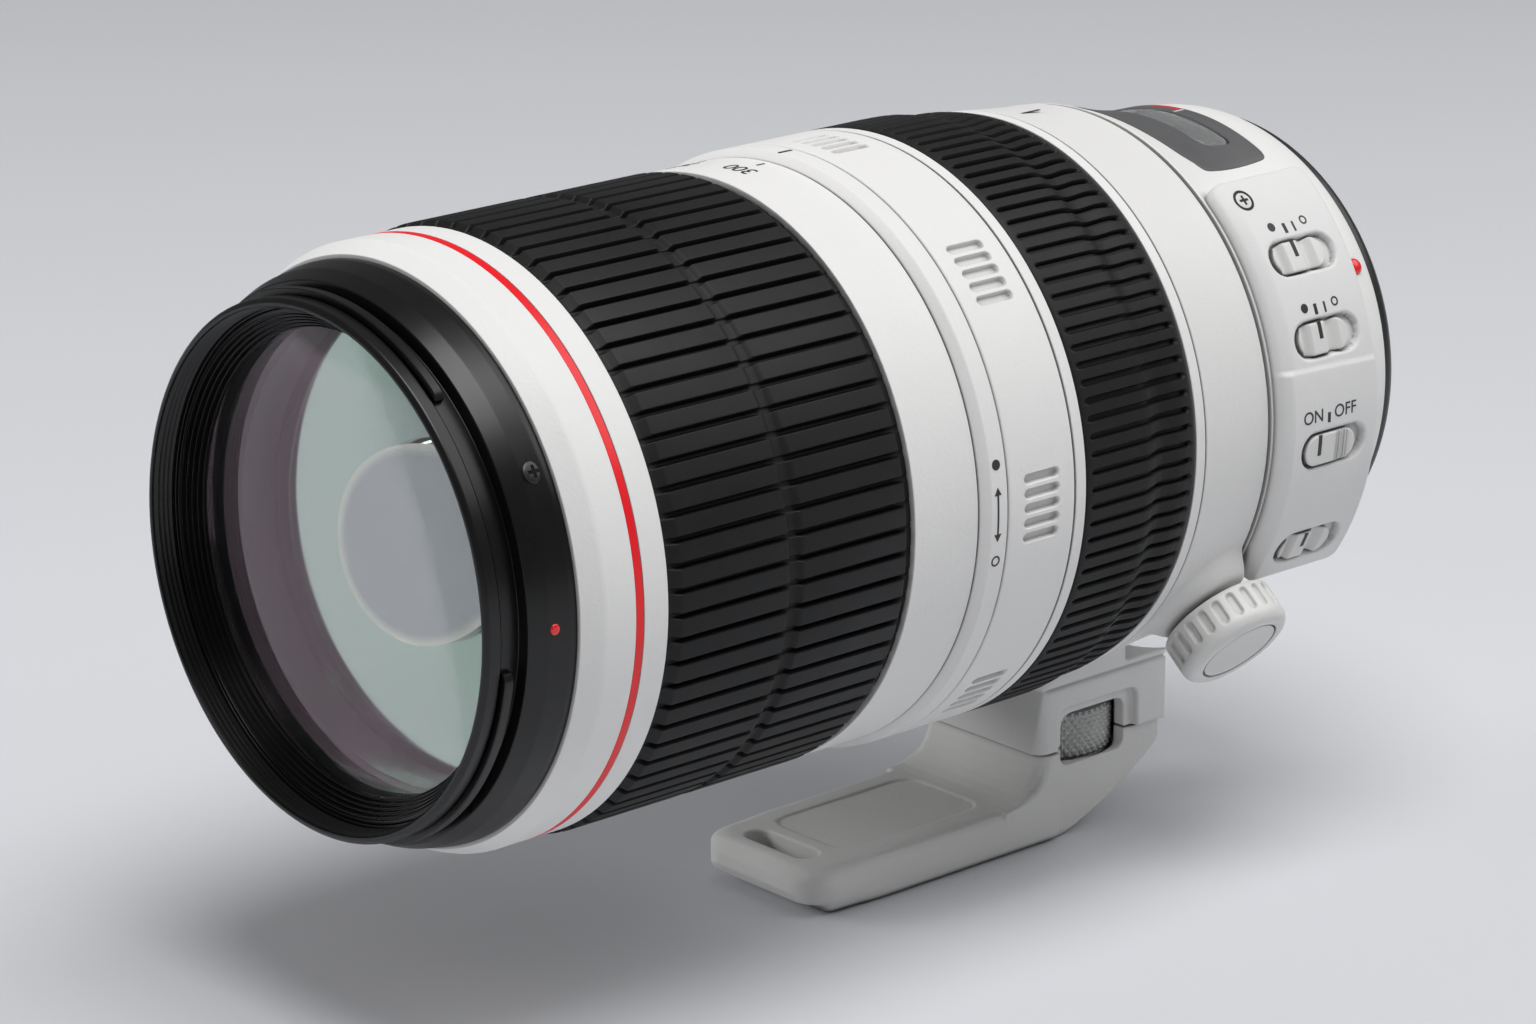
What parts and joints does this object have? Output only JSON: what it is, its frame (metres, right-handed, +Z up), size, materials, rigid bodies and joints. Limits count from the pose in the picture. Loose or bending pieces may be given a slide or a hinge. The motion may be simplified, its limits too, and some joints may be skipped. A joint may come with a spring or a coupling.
{
  "type": "camera zoom lens",
  "caption": "White telephoto zoom lens with ribbed zoom and focus grips, a zoom tension ring, slide switches, a bayonet mount and a turning tripod collar on a detachable foot.",
  "frame": {"origin": "centre of the camera mount's flange face, on the optical axis", "axes": "optical axis along Y with the front glass towards -Y, +Z up away from the foot, +X towards the switch panel"},
  "size_m": [0.0948, 0.1986, 0.1201],
  "materials": {
    "white_paint": "satin",
    "panel_paint": "satin",
    "foot_paint": "satin",
    "knob_plastic": "satin",
    "cap_plastic": "matte",
    "switch_plastic": "satin",
    "grip_rubber": "matte",
    "gasket_rubber": "matte",
    "black_plastic": "satin",
    "black_metal": "satin",
    "bare_metal": "satin",
    "mount_metal": "polished",
    "screw_steel": "satin",
    "panel_screw": "satin",
    "knurled_metal": "satin",
    "contact_gold": "polished",
    "red_plastic": "gloss",
    "red_line": "gloss",
    "dark_bezel": "satin",
    "window_clear": "gloss",
    "board": "satin",
    "coated_glass": "polished",
    "motor_brass": "satin",
    "blade_steel": "matte",
    "drum_paint": "matte"
  },
  "bodies": {
    "lens_body": {"bayonet_mount": "mount_metal", "mount_screws": "screw_steel", "mount_gasket": "gasket_rubber", "contact_block": "black_plastic", "contact_pins": "contact_gold", "rear_trim_ring": "black_metal", "mount_index_bead": "red_plastic", "rear_housing": "white_paint", "window_bezel": "dark_bezel", "window_pane": "window_clear", "switch_panel": "panel_paint", "panel_screw": "panel_screw", "circuit_board": "board", "rear_group_cell": "black_metal", "rear_elements": "coated_glass", "motor_stator": "motor_brass", "main_barrel": "bare_metal", "guide_barrel": "bare_metal", "stabilizer_housing": "black_plastic", "iris_housing": "black_plastic", "iris_blades": "blade_steel", "index_ring": "white_paint"},
    "focus_limit_slider": {"focus_limit_switch": "switch_plastic"},
    "focus_mode_slider": {"focus_mode_switch": "switch_plastic"},
    "stabilizer_slider": {"stabilizer_switch": "switch_plastic"},
    "stabilizer_mode_slider": {"stabilizer_mode_switch": "switch_plastic"},
    "rotor": {"motor_rotor": "bare_metal"},
    "focus_drum": {"distance_drum": "drum_paint", "drive_rollers": "bare_metal"},
    "focus_group": {"focus_cell": "black_metal", "focus_elements": "coated_glass", "focus_pins": "bare_metal"},
    "stabilizer_carrier": {"stabilizer_frame": "black_plastic"},
    "stabilizer_group": {"stabilizer_cell": "black_plastic", "stabilizer_element": "coated_glass"},
    "focus_control": {"focus_ring": "white_paint", "focus_grip": "grip_rubber"},
    "tension_control": {"tension_ring": "white_paint"},
    "zoom_control": {"zoom_ring": "white_paint", "zoom_grip": "grip_rubber", "cam_barrel": "bare_metal"},
    "zoom_group": {"zoom_cell": "black_metal", "zoom_elements": "coated_glass", "zoom_followers": "bare_metal"},
    "front_barrel": {"inner_barrel": "white_paint", "barrel_followers": "bare_metal", "front_cell": "black_metal", "front_doublet": "coated_glass", "front_element": "coated_glass", "front_retainer": "black_plastic", "front_ring": "white_paint", "red_trim_ring": "red_line", "hood_ring": "black_plastic", "hood_ring_screws": "black_metal"},
    "collar": {"tripod_collar": "foot_paint"},
    "knob": {"lock_screw": "bare_metal", "lock_knob": "knob_plastic", "lock_knob_cap": "cap_plastic"},
    "foot": {"tripod_foot": "foot_paint"},
    "wheel": {"thumb_wheel": "knurled_metal"}
  },
  "joints": [
    {"name": "zoom_turn", "type": "hinge", "parent": "lens_body", "child": "zoom_control", "pos_m": [0, 0, 0], "axis": [0, -1, 0], "range_deg": [0, 85]},
    {"name": "front_slide", "type": "slide", "parent": "lens_body", "child": "front_barrel", "axis": [0, -1, 0], "range_m": [0, 0.072]},
    {"name": "zoom_group_slide", "type": "slide", "parent": "lens_body", "child": "zoom_group", "axis": [0, -1, 0], "range_m": [0, 0.025]},
    {"name": "focus_turn", "type": "hinge", "parent": "lens_body", "child": "focus_control", "pos_m": [0, 0, 0], "axis": [0, -1, 0], "range_deg": [-60, 60]},
    {"name": "drum_turn", "type": "hinge", "parent": "lens_body", "child": "focus_drum", "pos_m": [0, 0, 0], "axis": [0, -1, 0], "range_deg": [-30, 30]},
    {"name": "focus_group_slide", "type": "slide", "parent": "lens_body", "child": "focus_group", "axis": [0, -1, 0], "range_m": [-0.005, 0.005]},
    {"name": "rotor_turn", "type": "hinge", "parent": "lens_body", "child": "rotor", "pos_m": [0, 0, 0], "axis": [0, -1, 0], "continuous": true},
    {"name": "tension_turn", "type": "hinge", "parent": "lens_body", "child": "tension_control", "pos_m": [0, 0, 0], "axis": [0, -1, 0], "range_deg": [0, 30]},
    {"name": "stabilizer_side_slide", "type": "slide", "parent": "lens_body", "child": "stabilizer_carrier", "axis": [1, 0, 0], "range_m": [-0.0012, 0.0012]},
    {"name": "stabilizer_lift_slide", "type": "slide", "parent": "stabilizer_carrier", "child": "stabilizer_group", "axis": [0, 0, 1], "range_m": [-0.0012, 0.0012]},
    {"name": "focus_limit_slide", "type": "slide", "parent": "lens_body", "child": "focus_limit_slider", "axis": [0, 1, 0], "range_m": [0, 0.002]},
    {"name": "focus_mode_slide", "type": "slide", "parent": "lens_body", "child": "focus_mode_slider", "axis": [0, 1, 0], "range_m": [0, 0.002]},
    {"name": "stabilizer_switch_slide", "type": "slide", "parent": "lens_body", "child": "stabilizer_slider", "axis": [0, 1, 0], "range_m": [0, 0.002]},
    {"name": "stabilizer_mode_slide", "type": "slide", "parent": "lens_body", "child": "stabilizer_mode_slider", "axis": [0, 1, 0], "range_m": [0, 0.002]},
    {"name": "collar_turn", "type": "hinge", "parent": "lens_body", "child": "collar", "pos_m": [0, 0, 0], "axis": [0, -1, 0], "continuous": true},
    {"name": "knob_turn", "type": "hinge", "parent": "collar", "child": "knob", "pos_m": [0.03685, -0.0434, -0.03092], "axis": [0.766, 0, -0.6428], "range_deg": [0, 270]},
    {"name": "foot_release", "type": "slide", "parent": "collar", "child": "foot", "axis": [0, 0, -1], "range_m": [0, 0.012]},
    {"name": "wheel_turn", "type": "hinge", "parent": "foot", "child": "wheel", "pos_m": [0, -0.0444, -0.058], "axis": [0, 0, 1], "range_deg": [0, 1080]}
  ],
  "couplings": [
    {"joint": "front_slide", "follows": "zoom_turn", "m_per_rad": 0.048533},
    {"joint": "zoom_group_slide", "follows": "zoom_turn", "m_per_rad": 0.016852},
    {"joint": "drum_turn", "follows": "focus_turn", "ratio": 0.5},
    {"joint": "focus_group_slide", "follows": "focus_turn", "m_per_rad": 0.0047747}
  ]
}
